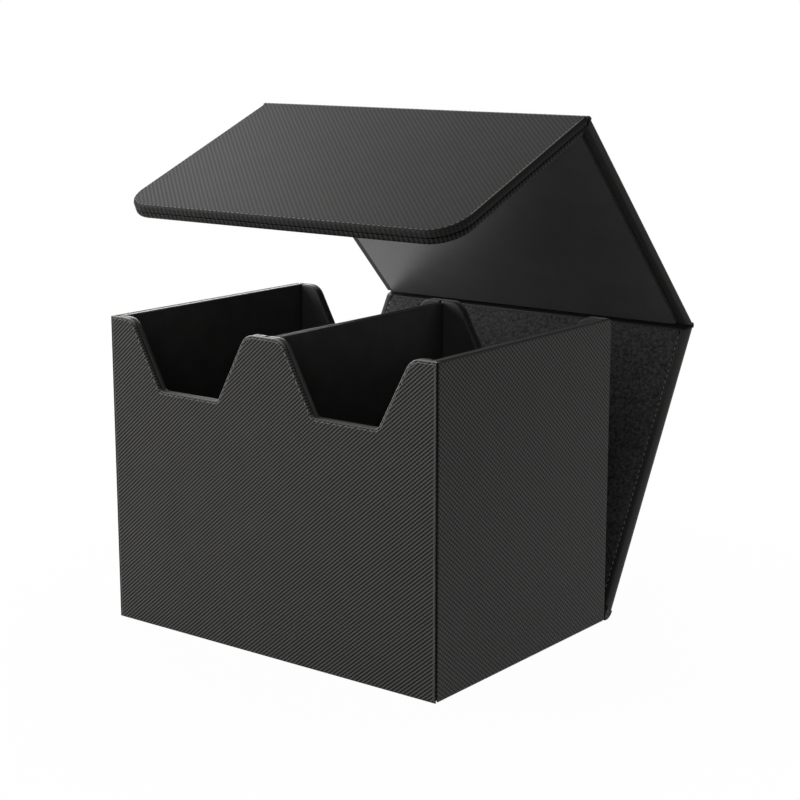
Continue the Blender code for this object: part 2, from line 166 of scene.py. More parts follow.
class Recipe:
    """The nodes of one finish."""

    def __init__(self, tree):
        self.tree = tree

    def node(self, kind, settings=None, sockets=None, output=0):
        made = self.tree.nodes.new(kind)
        for name, value in (settings or {}).items():
            setattr(made, name, value)
        for name, value in (sockets or {}).items():
            if isinstance(value, Value):
                self.tree.links.new(value.socket, made.inputs[name])
            else:
                made.inputs[name].default_value = value
        return Value(self, made.outputs[output])

    def colour(self, share, first, second):
        """A colour between two, which are values or red, green and blue."""
        ends = [end if isinstance(end, Value) else (*end, 1) for end in (first, second)]
        sockets = {0: share, 6: ends[0], 7: ends[1]}
        return self.node("ShaderNodeMix", {"data_type": "RGBA"}, sockets, 2)

    def noise(self, place, scale, detail=2.0):
        sockets = {"Vector": place, "Scale": scale, "Detail": detail}
        return self.node("ShaderNodeTexNoise", None, sockets)

    def along(self, place, direction, start=0.0):
        """How far a place is in a direction, in metres."""
        sockets = {0: place, 1: tuple(direction)}
        reach = self.node("ShaderNodeVectorMath", {"operation": "DOT_PRODUCT"}, sockets, 1)
        return reach - start

    def facing(self, direction, start, end):
        """0 where the surface looks away from a direction and 1 where it looks along it."""
        normal = self.node("ShaderNodeTexCoord", output="Normal")
        return self.along(normal, direction).step(start, end)


# %% [markdown]
# ## A finish and its later touches
# A finish is a material on the Principled shader, and its formulas are set on the shader's
# sockets. `retouch` and `polish` take what a socket has so far and mix another tone or another
# roughness over it. The tones mixed in by `retouch` are mostly painted highlights and painted
# shade, and `polish` makes a place shinier than the rest.

# %% Finishes


class Finish(Recipe):
    """A material on the Principled shader."""

    def __init__(self, name, tone, roughness, specular=0.5):
        self.material = bpy.data.materials.new(name)
        self.material.use_nodes = True
        self.material.diffuse_color = (*tone, 1)
        super().__init__(self.material.node_tree)
        self.shader = self.tree.nodes["Principled BSDF"]
        self.set("Base Color", (*tone, 1))
        self.set("Roughness", roughness)
        self.set("Specular IOR Level", specular)

    def set(self, socket, value):
        if isinstance(value, Value):
            self.tree.links.new(value.socket, self.shader.inputs[socket])
        else:
            self.shader.inputs[socket].default_value = value

    def place(self):
        return self.node("ShaderNodeTexCoord", output="Object")

    def bump(self, height, distance, strength=1.0):
        sockets = {"Height": height, "Distance": distance, "Strength": strength}
        self.set("Normal", self.node("ShaderNodeBump", None, sockets))

    def now(self, name):
        """What a socket of the shader has so far: a formula or a number."""
        socket = self.shader.inputs[name]
        if socket.is_linked:
            return Value(self, socket.links[0].from_socket)
        return socket.default_value

    def retouch(self, share, tone):
        """Mixes a share of another tone into the base colour."""
        self.set("Base Color", self.colour(share, self.now("Base Color"), tone))

    def polish(self, share, roughness):
        """Mixes a share of another roughness into the finish."""
        before = self.now("Roughness")
        self.set("Roughness", (roughness - before) * share + before)


# %% [markdown]
# ## The woven covering
# The covering is imitation leather embossed with a fine slanted weave. Two sets of waves cross:
# the strong one draws the ridges and the weak one breaks them into beads. The waves are counted
# across the board and along it, in waves a metre, and going down into the board's thickness
# adds to both counts, so that the ridges run on over its rolled edges.

# %% Woven covering
TURN = 2 * math.pi
GRAIN_SCALE, PATCH_SCALE, PATCH_SHARE = 1500.0, 60.0, 0.2
EDGE_START, EDGE_END = 0.0003, 0.0009
WEAVE_DEPTH = 0.00005


def woven(
    name,
    frame_of_board,
    waves,
    contrast,
    tones,
    bead=0.25,
    relief=1.0,
    specular=0.25,
    both_sides=False,
    ribs_from=-1.0,
):
    """The weave on a board, by its frame: X across it, Y along it and Z into it.

    contrast is a pair: on the face, and on the rolled edge from ribs_from on. bead is the
    share of the weak waves. both_sides covers the opposite wall of the box too.
    """
    finish = Finish(name, tones[1], 0.5, specular)
    place = finish.place()
    turned = frame_of_board.inverted().to_3x3()
    across, along, into = [
        finish.along(place, row, row.dot(frame_of_board.translation)) for row in turned
    ]
    if both_sides:
        into = HALF_DEPTH - (into - HALF_DEPTH).size()
    u = (across + into) * (TURN * waves[0])
    v = (along + into) * (TURN * waves[1])
    ridge = (u - v).cosine()
    beads = (u + v).cosine()
    weave = (ridge * (1 - bead) + beads * bead) * 0.5 + 0.5
    grain = finish.noise(place, GRAIN_SCALE, 1.0)
    patch = finish.noise(place, PATCH_SCALE, 2.0)
    height = weave * 0.8 + grain * 0.2
    edge = into.step(EDGE_START, EDGE_END)
    ribbed = edge * along.step(ribs_from, ribs_from + 0.01)
    on_face, on_edge = contrast
    shape = (height - 0.5) * (ribbed * (on_edge - on_face) + on_face)
    share = shape + 0.5 + (patch - 0.5) * PATCH_SHARE
    finish.set("Base Color", finish.colour(share, *tones))
    finish.set("Roughness", 0.62 - height * 0.25)
    finish.bump(shape, WEAVE_DEPTH * relief)
    finish.ways = (across, along, edge)
    return finish


# %% [markdown]
# ## One weave for each board
# The weave stands at its own pitch and slant on each board, as the covering was cut and turned.
# On the front it is bold and reads as slanted lines. On the sides both sets of waves are nearly
# as strong, which gives small lozenges. On the flap the face is calm and the rolled rim is
# ribbed.

# %% The boards' weaves
FRONT_FRAME = Matrix.Translation((0, -HALF_DEPTH, 0)) @ Matrix.Rotation(QUARTER_TURN, 4, "X")
FRONT_FRAME = FRONT_FRAME @ Matrix.Diagonal((1, 1, -1, 1))
SIDE_FRAME = Matrix(((0, 0, -1, HALF_WIDTH), (1, 0, 0, 0), (0, 1, 0, 0), (0, 0, 0, 1)))
BLACK, CHARCOAL = (0.0045, 0.0044, 0.0042), (0.0300, 0.0294, 0.0280)
DEEP_BLACK, GREY = (0.0010, 0.0010, 0.0009), (0.0960, 0.0945, 0.0900)
SOFT_GREY = (0.0620, 0.0610, 0.0585)
SIDE_GREY = (0.0840, 0.0825, 0.0790)
FRONT_WAVES, SIDE_WAVES = (450, 538), (380, -450)
COVER_WAVES, FLAP_WAVES = (380, 400), (370, 390)
front_weave = woven(
    "front weave",
    FRONT_FRAME,
    FRONT_WAVES,
    contrast=(2.6, 0.8),
    tones=(DEEP_BLACK, GREY),
    specular=0.12,
    both_sides=True,
)
side_weave = woven(
    "side weave",
    SIDE_FRAME,
    SIDE_WAVES,
    contrast=(3.0, 3.0),
    tones=(DEEP_BLACK, SIDE_GREY),
    bead=0.45,
)
rear_weave = woven(
    "rear panel weave",
    REAR_FRAME,
    COVER_WAVES,
    contrast=(0.7, 0.1),
    tones=(BLACK, SOFT_GREY),
    relief=2.0,
    specular=0.2,
)
top_weave = woven(
    "top panel weave",
    TOP_FRAME,
    COVER_WAVES,
    contrast=(0.7, 0.15),
    tones=(BLACK, SOFT_GREY),
    relief=2.0,
    specular=0.2,
)
flap_weave = woven(
    "flap weave",
    FLAP_FRAME,
    FLAP_WAVES,
    contrast=(0.12, 0.9),
    tones=(BLACK, CHARCOAL),
    bead=0.3,
    relief=7.0,
    specular=0.12,
    ribs_from=0.095,
)
flap_under_weave = woven(
    "flap underside weave",
    FLAP_FRAME,
    FLAP_WAVES,
    contrast=(0.6, 1.6),
    tones=(DEEP_BLACK, CHARCOAL),
    specular=0.1,
)
print("weave pitch on the front", round(1000 / math.hypot(*FRONT_WAVES), 2), "mm")

# %% [markdown]
# ## Painted highlights and painted shade on the edges
# On top of the front and rear walls the covering is stretched smooth over the board's edge, and
# a painted highlight lightens it, most of all at the rim. On the side walls it is smooth and
# darker. Down each corner of the front the covering is turned in: a painted highlight marks the
# fine fold, and painted shade darkens the strip beyond it. The notches' slopes that look to the
# left and the rear panel's outer border get painted highlights too. These touches lie over the
# weave, so they are mixed in after it.

# %% Painted highlights and shade
NOTCH_LOWEST, NEAR_RIM = (0.112, 0.115), (0.130, 0.148)
LINE_WIDTH = 0.0004
FADE = 0.0003


def smooth_top_and_painted_highlight(finish, tone):
    """Smooths what looks up, from the notches' lowest edge to the rim, and mixes a tone into it.
    Where the tone is light, as on the front and the cloth, it is a painted highlight.
    """
    height = finish.along(finish.place(), (0, 0, 1))
    share = finish.facing((0, 0, 1), 0.40, 0.90) * height.step(*NOTCH_LOWEST)
    finish.polish(share, 0.34)
    finish.retouch(share * (height.step(*NEAR_RIM) * 0.7 + 0.3), tone)


def painted_groove_shade(finish, start):
    """Paints shade on the strip beyond start, at both sides of the board, where the corner's groove
    is.
    """
    outward = finish.ways[0].size()
    finish.retouch(outward.step(start, start + FADE) * 0.8, DEEP_BLACK)


def painted_highlight_line(finish, start, reach, tone):
    """A fine painted highlight line on the face, parallel to its two sides, as far along as the
    reach.
    """
    across, along, edge = finish.ways
    outward = across.size()
    far = start + LINE_WIDTH
    line = outward.step(start, start + FADE) * (1 - outward.step(far, far + FADE))
    finish.retouch(line * (1 - edge) * (1 - along.step(reach, reach + 0.004)), tone)


# Painted shade in the strips at the front corners, where the groove is.
painted_groove_shade(side_weave, start=0.0681)
painted_groove_shade(front_weave, start=0.0960)
# Painted highlights along the front's turned-in fold and along the flap's two sides.
painted_highlight_line(front_weave, start=0.0952, reach=0.1470, tone=(0.12, 0.12, 0.114))
painted_highlight_line(flap_weave, start=0.0958, reach=FLAP_LENGTH - 0.0190, tone=(0.22, 0.22, 0.21))
# Painted highlight on the notches' slopes that look to the left, off the rolled edge.
NOTCH_SLOPE = (-0.88, 0, 0.47)
slope_painted_highlight = front_weave.facing(NOTCH_SLOPE, 0.30, 0.75) * (1 - front_weave.ways[2])
front_weave.retouch(slope_painted_highlight, (0.40, 0.40, 0.38))
# Painted highlights on what looks up. On the side walls the tone is darker: the smooth strip's own
# colour.
smooth_top_and_painted_highlight(front_weave, (0.30, 0.30, 0.285))
smooth_top_and_painted_highlight(side_weave, (0.022, 0.022, 0.021))
# Painted highlight along the rear panel's outer border.
REAR_HIGHLIGHT_SPAN = (0.0943, 0.0972)
rear_rim_painted_highlight = rear_weave.ways[0].size().step(*REAR_HIGHLIGHT_SPAN)
rear_weave.retouch(rear_rim_painted_highlight * 0.8, (0.085, 0.0845, 0.0820))
touched = (front_weave, side_weave, flap_weave, rear_weave)
print("touched up:", [weave.material.name for weave in touched])

# %% [markdown]
# ## The other finishes
# The linings are a fine dark cloth on board. The inside of the top panel is smooth satin, with
# painted shade on its rolled edges, the rear panel is felted, and the thread is greyer than the
# covering and catches more light. Each is two tones mixed by noise: a fine grain on broader
# patches.

# %% Plain finishes
GRAIN_CONTRAST = 2.8


def grained(name, tones, roughness, scale, distance, relief, specular=0.5, patch_scale=90.0):
    """A finish between two tones, in grains on broad patches."""
    finish = Finish(name, tones[1], roughness, specular)
    place = finish.place()
    grain = finish.noise(place, scale, 3.0)
    patch = finish.noise(place, patch_scale, 3.0)
    share = (grain * 0.5 + patch * 0.5 - 0.5) * GRAIN_CONTRAST + 0.5
    finish.set("Base Color", finish.colour(share, *tones))
    finish.bump(grain, distance, relief)
    return finish


def greys(dark, light):
    return (dark,) * 3, (light,) * 3


satin = grained(
    "satin lining",
    greys(0.060, 0.084),
    roughness=0.36,
    scale=700.0,
    distance=0.00003,
    relief=0.3,
    specular=1.0,
)
# Painted shade: the satin board's rolled edges, which look sideways, are darkened and made rough.
satin_edge_painted_shade = 1 - satin.facing(TOP_FRAME.to_3x3() @ Vector((0, 0, 1)), 0.90, 0.99)
satin.retouch(satin_edge_painted_shade, DEEP_BLACK)
satin.polish(satin_edge_painted_shade, 0.95)
felt = grained(
    "felt",
    greys(0.004, 0.108),
    roughness=0.95,
    scale=1500.0,
    distance=0.0003,
    relief=0.8,
    specular=0.2,
    patch_scale=600.0,
)
underside = grained(
    "underside",
    ((0.008,) * 3, (0.030, 0.029, 0.027)),
    roughness=0.6,
    scale=1600.0,
    distance=0.0001,
    relief=0.8,
)
THREAD_TONES = (0.10,) * 3, (0.20, 0.197, 0.190)
THREAD_GRAIN = {"roughness": 0.5, "scale": 4000.0, "distance": 0.00005, "relief": 0.8}
thread = grained("thread", THREAD_TONES, **THREAD_GRAIN)
pale_thread = grained("pale thread", greys(0.16, 0.32), **THREAD_GRAIN)
magnet_metal = grained(
    "plated steel",
    greys(0.50, 0.60),
    roughness=0.3,
    scale=500.0,
    distance=0.00001,
    relief=0.2,
)
magnet_metal.set("Metallic", 1.0)
print("plain finishes:", satin.material.name, "to", magnet_metal.material.name)

# %% [markdown]
# ## The rows' cloth, and the pieces that stay as CAD made them
# The cloth of the rows gets a painted highlight at the rim, as the covering does. The divider is
# two boards back to back, and painted shade darkens a hairline at X = 0, the crack between them.
# The linings, side walls, base and magnets keep their CAD shape, and get their finish here by name.

# %% Finishes of the CAD nodes
CRACK_SHADE_SPAN = (0.0003, 0.0007)
CLOTH_TONES = (0.030,) * 3, (0.055, 0.055, 0.053)
row_cloth = grained(
    "row lining",
    CLOTH_TONES,
    roughness=0.50,
    scale=1800.0,
    distance=0.00005,
    relief=0.5,
)
# Painted highlight on the cloth's rims.
smooth_top_and_painted_highlight(row_cloth, (0.12, 0.12, 0.115))
# Painted shade in the crack between the divider's two boards, at X = 0.
middle = row_cloth.along(row_cloth.place(), (1, 0, 0)).size()
row_cloth.retouch(1 - middle.step(*CRACK_SHADE_SPAN), DEEP_BLACK)

finish_of_node = {"left_wall": side_weave, "right_wall": side_weave, "base_board": underside}
for name, node in nodes.items():
    finish = magnet_metal if "magnet" in name else finish_of_node.get(name, row_cloth)
    node.data.materials.clear()
    node.data.materials.append(finish.material)
print(len(nodes), "CAD nodes have their finish")

# %% [markdown]
# ## Working on one piece at a time
# An operator acts on whatever is selected, so each step first picks one object, and then only
# the faces that it needs. A finished piece is put in its place, and the place is written into
# its mesh, so that its object stays at the origin, unturned.

# %% Selecting, trimming and placing
FLAT_ENOUGH = 0.99
WELD = 1e-6
SMOOTH_ANGLE = math.radians(40)


def edit(piece):
    """Opens one piece in edit mode, with all its faces selected."""
    if bpy.context.object and bpy.context.object.mode == "EDIT":
        bpy.ops.object.mode_set(mode="OBJECT")
    bpy.ops.object.select_all(action="DESELECT")
    piece.select_set(True)
    bpy.context.view_layer.objects.active = piece
    bpy.ops.object.mode_set(mode="EDIT")
    bpy.ops.mesh.select_mode(type="FACE")
    bpy.ops.mesh.select_all(action="SELECT")


def choose_face(piece, facing):
    """Selects the largest face that looks along a direction."""
    bpy.ops.mesh.select_all(action="DESELECT")
    shape = bmesh.from_edit_mesh(piece.data)
    found = [face for face in shape.faces if face.normal.dot(Vector(facing)) > FLAT_ENOUGH]
    max(found, key=lambda face: face.calc_area()).select_set(True)
    bmesh.update_edit_mesh(piece.data)


def trim(piece, place, away):
    """Cuts the piece by a plane and closes it. What lies on the away side goes."""
    edit(piece)
    bpy.ops.mesh.bisect(
        plane_co=place, plane_no=away, use_fill=True, clear_outer=True, threshold=WELD
    )
    bpy.ops.object.mode_set(mode="OBJECT")


def settle(piece, place, body, finish, stands_for=()):
    """Puts a finished piece in its place in the case, in its finish and on its body."""
    edit(piece)
    bpy.ops.object.mode_set(mode="OBJECT")
    piece.matrix_world = place
    bpy.ops.object.transform_apply(location=True, rotation=True, scale=True)
    bpy.ops.object.shade_smooth_by_angle(angle=SMOOTH_ANGLE)
    piece.data.materials.clear()
    piece.data.materials.append(finish.material)
    if body:
        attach(piece, body)
    if stands_for:
        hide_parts(*stands_for)
    print(piece.name, len(piece.data.polygons), "faces")


# %% [markdown]
# ## Outlines
# Every board starts as a flat outline. Drawing it by hand would mean a circle at each corner.
# Here an outline is a list of corners with a radius each, and the arcs are worked out, so that
# the same list also gives the line of sewing that runs inside it.

# %% Outlines


def rounded(corners, steps=ARC_STEPS):
    """The points of an outline whose corners, (x, y, radius), are rounded by arcs."""
    points = []
    for index, (x, y, radius) in enumerate(corners):
        here = Vector((x, y))
        before = (Vector(corners[index - 1][:2]) - here).normalized()
        after = (Vector(corners[(index + 1) % len(corners)][:2]) - here).normalized()
        if radius == 0:
            points.append(here)
            continue
        half = before.angle(after) / 2
        centre = here + (before + after).normalized() * radius / math.sin(half)
        start = here + before * radius / math.tan(half) - centre
        turn = start.angle_signed(here + after * radius / math.tan(half) - centre)
        for step in range(steps + 1):
            points.append(centre + Matrix.Rotation(-turn * step / steps, 2) @ start)
    return points


def drawn_in(corners, distance):
    """The corners of an outline that runs a distance inside another one."""
    moved = []
    for index, (x, y, radius) in enumerate(corners):
        here = Vector((x, y))
        before = (here - Vector(corners[index - 1][:2])).normalized()
        after = (Vector(corners[(index + 1) % len(corners)][:2]) - here).normalized()
        inwards = Vector((-before.y - after.y, before.x + after.x))
        here += inwards * distance / (1 + before.dot(after))
        if radius:
            radius = max(radius - math.copysign(distance, before.cross(after)), 0)
        moved.append((here.x, here.y, radius))
    return moved


def flat_outline(name, points):
    """An outline as a flat curve, made a mesh of one face."""
    curve = bpy.data.curves.new(name, "CURVE")
    curve.dimensions = "2D"
    curve.fill_mode = "BOTH"
    line = curve.splines.new("POLY")
    line.points.add(len(points) - 1)
    for place, (x, y) in zip(line.points, points):
        place.co = (x, y, 0, 1)
    line.use_cyclic_u = True
    piece = bpy.data.objects.new(name, curve)
    bpy.context.scene.collection.objects.link(piece)
    bpy.ops.object.select_all(action="DESELECT")
    piece.select_set(True)
    bpy.context.view_layer.objects.active = piece
    bpy.ops.object.convert(target="MESH")
    piece = bpy.context.object
    piece.name = name
    edit(piece)
    bpy.ops.mesh.remove_doubles(threshold=WELD)
    bpy.ops.mesh.dissolve_faces()
    return piece


# %% [markdown]
# ## From an outline to a wrapped board
# A wrapped board is an outline given a thickness. Its rim is rolled over in small insets, each
# drawn in and raised a little, as the covering rolls over the real board. A bevel would round
# the edge too, but it can't end in a groove. More insets sink the shallow groove that the
# sewing pulls down, and a flat ring inside it keeps the shading of the large face even.

# %% Wrapped boards


def rolled(radius, rise, steps=5):
    """Insets that roll an edge over: how far each is drawn in, and how far it is raised."""
    turns = [QUARTER_TURN * step / steps for step in range(steps + 1)]
    return [
        (radius * (math.cos(a) - math.cos(b)), rise * (math.sin(b) - math.sin(a)))
        for a, b in zip(turns, turns[1:])
    ]


def board(name, corners, thickness, outer, inner, outer_rise, inner_rise):
    """A board with its outer face at Z = 0 and its body below.

    outer and inner are the insets of its two faces, and the rises are what they add up to.
    """
    piece = flat_outline(name, rounded(corners))
    straight = thickness - outer_rise - inner_rise
    bpy.ops.mesh.select_all(action="SELECT")
    bpy.ops.mesh.extrude_region_move(TRANSFORM_OT_translate={"value": (0, 0, straight)})
    bpy.ops.mesh.select_all(action="SELECT")
    bpy.ops.mesh.normals_make_consistent(inside=False)
    for facing, insets in (((0, 0, 1), outer), ((0, 0, -1), inner)):
        choose_face(piece, facing)
        for drawn, raised in insets:
            bpy.ops.mesh.inset(thickness=drawn, depth=raised, use_even_offset=True)
    bpy.ops.mesh.select_all(action="SELECT")
    bpy.ops.transform.translate(value=(0, 0, inner_rise - thickness))
    bpy.ops.object.mode_set(mode="OBJECT")
    return piece


def tucked(width, drop, steps=5):
    """Insets that puff over and dive into a groove."""
    turns = [QUARTER_TURN * step / steps for step in range(steps + 1)]
    return [
        (width * (math.sin(b) - math.sin(a)), drop * (math.cos(b) - math.cos(a)))
        for a, b in zip(turns, turns[1:])
    ]


GROOVE_DEPTH = 0.00018
SEWN = [(0.0001, 0), (0.0002, -GROOVE_DEPTH), (0.0001, 0), (0.0002, GROOVE_DEPTH), (0.0004, 0)]
FLAT_RING = [(0.0004, 0)]
print("the sewn groove is", GROOVE_DEPTH * 1000, "mm deep")

# %% [markdown]
# ## The front and rear walls
# Each wall has a sloped notch in front of both rows. A boolean could cut them out of a plain
# board. Drawn into the outline, they get the same rolled rim as the rest. The outline is drawn a
# little longer at the foot and cut off there, so that the rim and the groove follow only the
# edges that are sewn or folded on the real wall. The ends are mitred, as the covering is at the
# corners. The rear wall starts a little higher, where the covering of the foot passes under it.

# %% Front and rear wall
WALL_ROLL, WALL_RISE = 0.0008, 0.0010
SEAM_INSET = 0.00115
NOTCH_CENTRE_X = 0.046875
NOTCH_FLOOR_Z = 0.1170
NOTCH_SLANT = math.radians(28.2)
NOTCH_TOP = 0.03587
NOTCH_FLOOR = NOTCH_TOP - (BOX_HEIGHT - NOTCH_FLOOR_Z) * math.tan(NOTCH_SLANT)
TOP_CORNER_RADIUS, FLOOR_CORNER_RADIUS = 0.0080, 0.0030
WALL_HALF = HALF_WIDTH - GAP / math.sqrt(2)
FOOT_SPARE, REAR_WALL_BOTTOM = 0.004, 0.0013


def wall_outline(bottom):
    """The corners of a wall with its two notches, seen from outside."""
    corners = [(-WALL_HALF, bottom, 0), (WALL_HALF, bottom, 0), (WALL_HALF, BOX_HEIGHT, 0)]
    for centre in (NOTCH_CENTRE_X, -NOTCH_CENTRE_X):
        corners += [
            (centre + NOTCH_TOP, BOX_HEIGHT, TOP_CORNER_RADIUS),
            (centre + NOTCH_FLOOR, NOTCH_FLOOR_Z, FLOOR_CORNER_RADIUS),
            (centre - NOTCH_FLOOR, NOTCH_FLOOR_Z, FLOOR_CORNER_RADIUS),
            (centre - NOTCH_TOP, BOX_HEIGHT, TOP_CORNER_RADIUS),
        ]
    return corners + [(-WALL_HALF, BOX_HEIGHT, 0)]


def notched_wall(name, bottom):
    piece = board(
        name,
        wall_outline(bottom - FOOT_SPARE),
        WALL_THICKNESS,
        rolled(WALL_ROLL, WALL_RISE) + SEWN,
        rolled(WALL_ROLL, WALL_RISE) + FLAT_RING,
        WALL_RISE,
        WALL_RISE,
    )
    trim(piece, (0, bottom, 0), (0, -1, 0))
    for side in (-1, 1):
        trim(piece, (side * WALL_HALF, 0, 0), (side, 0, -1))
    return piece


UPRIGHT = Matrix.Rotation(QUARTER_TURN, 4, "X")
FRONT_PLACE = Matrix.Translation((0, -HALF_DEPTH, 0)) @ UPRIGHT
REAR_PLACE = Matrix.Rotation(math.pi, 4, "Z") @ FRONT_PLACE
for name, bottom, place in (
    ("front_wall", 0, FRONT_PLACE),
    ("rear_wall", REAR_WALL_BOTTOM, REAR_PLACE),
):
    wall = notched_wall(name + "_covered", bottom)
    settle(wall, place, "box", front_weave, [name])

# %% [markdown]
# ## Sewing
# A row of sewing is one stitch, repeated. The stitch is a small rounded bead of thread, modelled
# once. Its copies are laid along a line that runs inside the rim, each turned to the line, and
# then joined. An array modifier along a curve would bend the beads at the corners.

# %% Sewing
THREAD_WIDTH, THREAD_HEIGHT = 0.00055, 0.0004
SEAM_LEVEL = -0.00012
WALL_PITCH, WALL_STITCH = 0.0034, 0.0022


def evenly(points, pitch):
    """(place, angle) at each pitch along a line of points."""
    marks = []
    ahead = pitch / 2
    for start, end in zip(points, points[1:]):
        reach = (end - start).length
        while ahead < reach:
            place = start.lerp(end, ahead / reach)
            marks.append((place, math.atan2(end.y - start.y, end.x - start.x)))
            ahead += pitch
        ahead -= reach
    return marks


def one_stitch(length):
    """A bead of thread, lying along X."""
    bpy.ops.object.select_all(action="DESELECT")
    bpy.ops.mesh.primitive_uv_sphere_add(segments=8, ring_count=5, radius=0.5)
    stitch = bpy.context.object
    stitch.rotation_euler.y = QUARTER_TURN
    bpy.ops.object.transform_apply(rotation=True)
    stitch.scale = (length, THREAD_WIDTH, THREAD_HEIGHT)
    bpy.ops.object.transform_apply(scale=True)
    return stitch


def sewing(name, lines, pitch, length, level):
    """A row of stitches along each line, at one level."""
    stitch = one_stitch(length)
    copies = []
    for line in lines:
        for place, angle in evenly(line, pitch):
            copy = stitch.copy()
            copy.data = stitch.data.copy()
            bpy.context.scene.collection.objects.link(copy)
            copy.matrix_world = Matrix.Translation((*place, level)) @ Matrix.Rotation(angle, 4, "Z")
            copies.append(copy)
    bpy.ops.object.select_all(action="DESELECT")
    for copy in copies:
        copy.select_set(True)
    bpy.context.view_layer.objects.active = copies[0]
    bpy.ops.object.join()
    row = bpy.context.object
    row.name = name
    bpy.ops.object.transform_apply(location=True, rotation=True, scale=True)
    bpy.data.objects.remove(stitch, do_unlink=True)
    print(name, len(copies), "stitches")
    return row


rim = rounded(drawn_in(wall_outline(0), SEAM_INSET)[2:])
for name, place in (("front_sewing", FRONT_PLACE), ("rear_sewing", REAR_PLACE)):
    row = sewing(name, [rim], WALL_PITCH, WALL_STITCH, SEAM_LEVEL)
    settle(row, place, "box", thread)

# %% [markdown]
# ## The panels of the cover
# The rear and top panels have no stiff rim on the inside: the covering is drawn over the edge
# and puffs up before the felt or the satin board holds it down. A quarter of a wave of insets
# makes the puff. The ends are mitred, so that the panels meet when the cover is shut.

# %% Rear and top panels
OUTWARDS = Matrix.Rotation(math.pi, 4, "Y")
MITRE = 0.0006
OUTER_ROLL = 0.0014
PUFF_STEPS = 8
REAR_THICKNESS, REAR_CROWN, REAR_BORDER = 0.0037, 0.0046, 0.0049
TOP_THICKNESS, TOP_CROWN, TOP_BORDER = 0.0033, 0.0037, 0.0060
GLUED = 0.0008


def trim_mitre(piece, end, towards, reach, thickness):
    """Cuts the V of a mitred end, whose fold is at Y = end."""
    trim(piece, (0, end - towards * reach, 0), (0, towards * SKIN, reach - SKIN - MITRE))
    trim(piece, (0, end - towards * MITRE, 0), (0, towards, -1))


def cover_panel(name, length, thickness, crown, border, near_reach, far_reach):
    """crown is how deep the border puffs inwards, and border is how wide it is."""
    spare = border + 0.0005
    puff = [(0.0002, 0)] + tucked(border - 0.0004 - crown * 0.5, crown - thickness)
    corners = [
        (-HALF_WIDTH, -spare, 0),
        (HALF_WIDTH, -spare, 0),
        (HALF_WIDTH, length + spare, 0),
        (-HALF_WIDTH, length + spare, 0),
    ]
    piece = board(
        name,
        corners,
        crown,
        rolled(OUTER_ROLL, OUTER_ROLL) + FLAT_RING,
        rolled(crown * 0.5, crown * 0.5, PUFF_STEPS) + puff + FLAT_RING,
        OUTER_ROLL,
        crown * 0.5,
    )
    trim_mitre(piece, 0, -1, near_reach, thickness)
    trim_mitre(piece, length, 1, far_reach, thickness)
    return piece


def fold_reach(radius, turn):
    """From the corner of a fold to the edge of the board, past the rounded covering."""
    return radius * math.tan(turn / 2) + GLUED


TOP_TURN = TOP_ANGLE - REAR_ANGLE
FLAP_TURN = FLAP_ANGLE - TOP_ANGLE
FOOT_RADIUS, TOP_RADIUS, FLAP_RADIUS = 0.0060, 0.0016, 0.0034
FOOT_REACH = fold_reach(FOOT_RADIUS, REAR_ANGLE)
TOP_REACH = fold_reach(TOP_RADIUS, TOP_TURN)
FLAP_REACH = fold_reach(FLAP_RADIUS, FLAP_TURN)
rear_sizes = (REAR_LENGTH, REAR_THICKNESS, REAR_CROWN, REAR_BORDER)
rear = cover_panel("rear_panel_covered", *rear_sizes, FOOT_REACH, TOP_REACH)
settle(rear, REAR_FRAME @ OUTWARDS, "rear_cover", rear_weave, ["rear_panel"])
top_sizes = (TOP_LENGTH, TOP_THICKNESS, TOP_CROWN, TOP_BORDER)
top = cover_panel("top_panel_covered", *top_sizes, TOP_REACH, FLAP_REACH)
settle(top, TOP_FRAME @ OUTWARDS, "top_cover", top_weave, ["top_panel"])

# %% [markdown]
# ## Felt and satin
# The felt lies inside a sewn margin of the rear panel. The satin board is let into the top panel
# and stands a little proud, so a dark groove shows round it. Both are boards too, seen from
# their inner side, so their face that shows is turned inwards. The felt is glued flat, so it
# needs no cloth simulation.

# %% Felt and satin board
FELT_FACE, SATIN_FACE = 0.0047, 0.0050
MARGIN_X, MARGIN_START, MARGIN_END = 0.0927, 0.007, 0.149
MARGIN_PITCH, MARGIN_STITCH, MARGIN_LEVEL = 0.0030, 0.0019, 0.0044


def inner_layer(name, half_width, start, end, thickness, roll, corner_radius):
    """A layer whose rolled face is at Z = 0 and looks inwards."""
    corners = [
        (-half_width, start, corner_radius),
        (half_width, start, corner_radius),
        (half_width, end, corner_radius),
        (-half_width, end, corner_radius),
    ]
    rise = min(roll, thickness * 0.8)
    return board(name, corners, thickness, rolled(roll, rise) + FLAT_RING, [], rise, 0)


felt_place = REAR_FRAME @ Matrix.Translation((0, 0, FELT_FACE))
felt_layer = inner_layer(
    "felt_layer",
    half_width=0.09230,
    start=0.0053,
    end=0.1506,
    thickness=0.0007,
    roll=0.0004,
    corner_radius=0.0015,
)
settle(felt_layer, felt_place, "rear_cover", felt, ["rear_panel_felt"])
# The satin finish paints shade on this board's rolled edges, in the groove round it.
satin_place = TOP_FRAME @ Matrix.Translation((0, 0, SATIN_FACE))
satin_board = inner_layer(
    "satin_board",
    half_width=0.09125,
    start=0.0053,
    end=0.1454,
    thickness=0.0016,
    roll=0.0003,
    corner_radius=0.0020,
)
settle(satin_board, satin_place, "top_cover", satin, ["top_panel_lining"])

margin_lines = [
    [Vector((side * MARGIN_X, MARGIN_START)), Vector((side * MARGIN_X, MARGIN_END))]
    for side in (-1, 1)
]
row = sewing("felt_sewing", margin_lines, MARGIN_PITCH, MARGIN_STITCH, MARGIN_LEVEL)
settle(row, REAR_FRAME, "rear_cover", pale_thread)

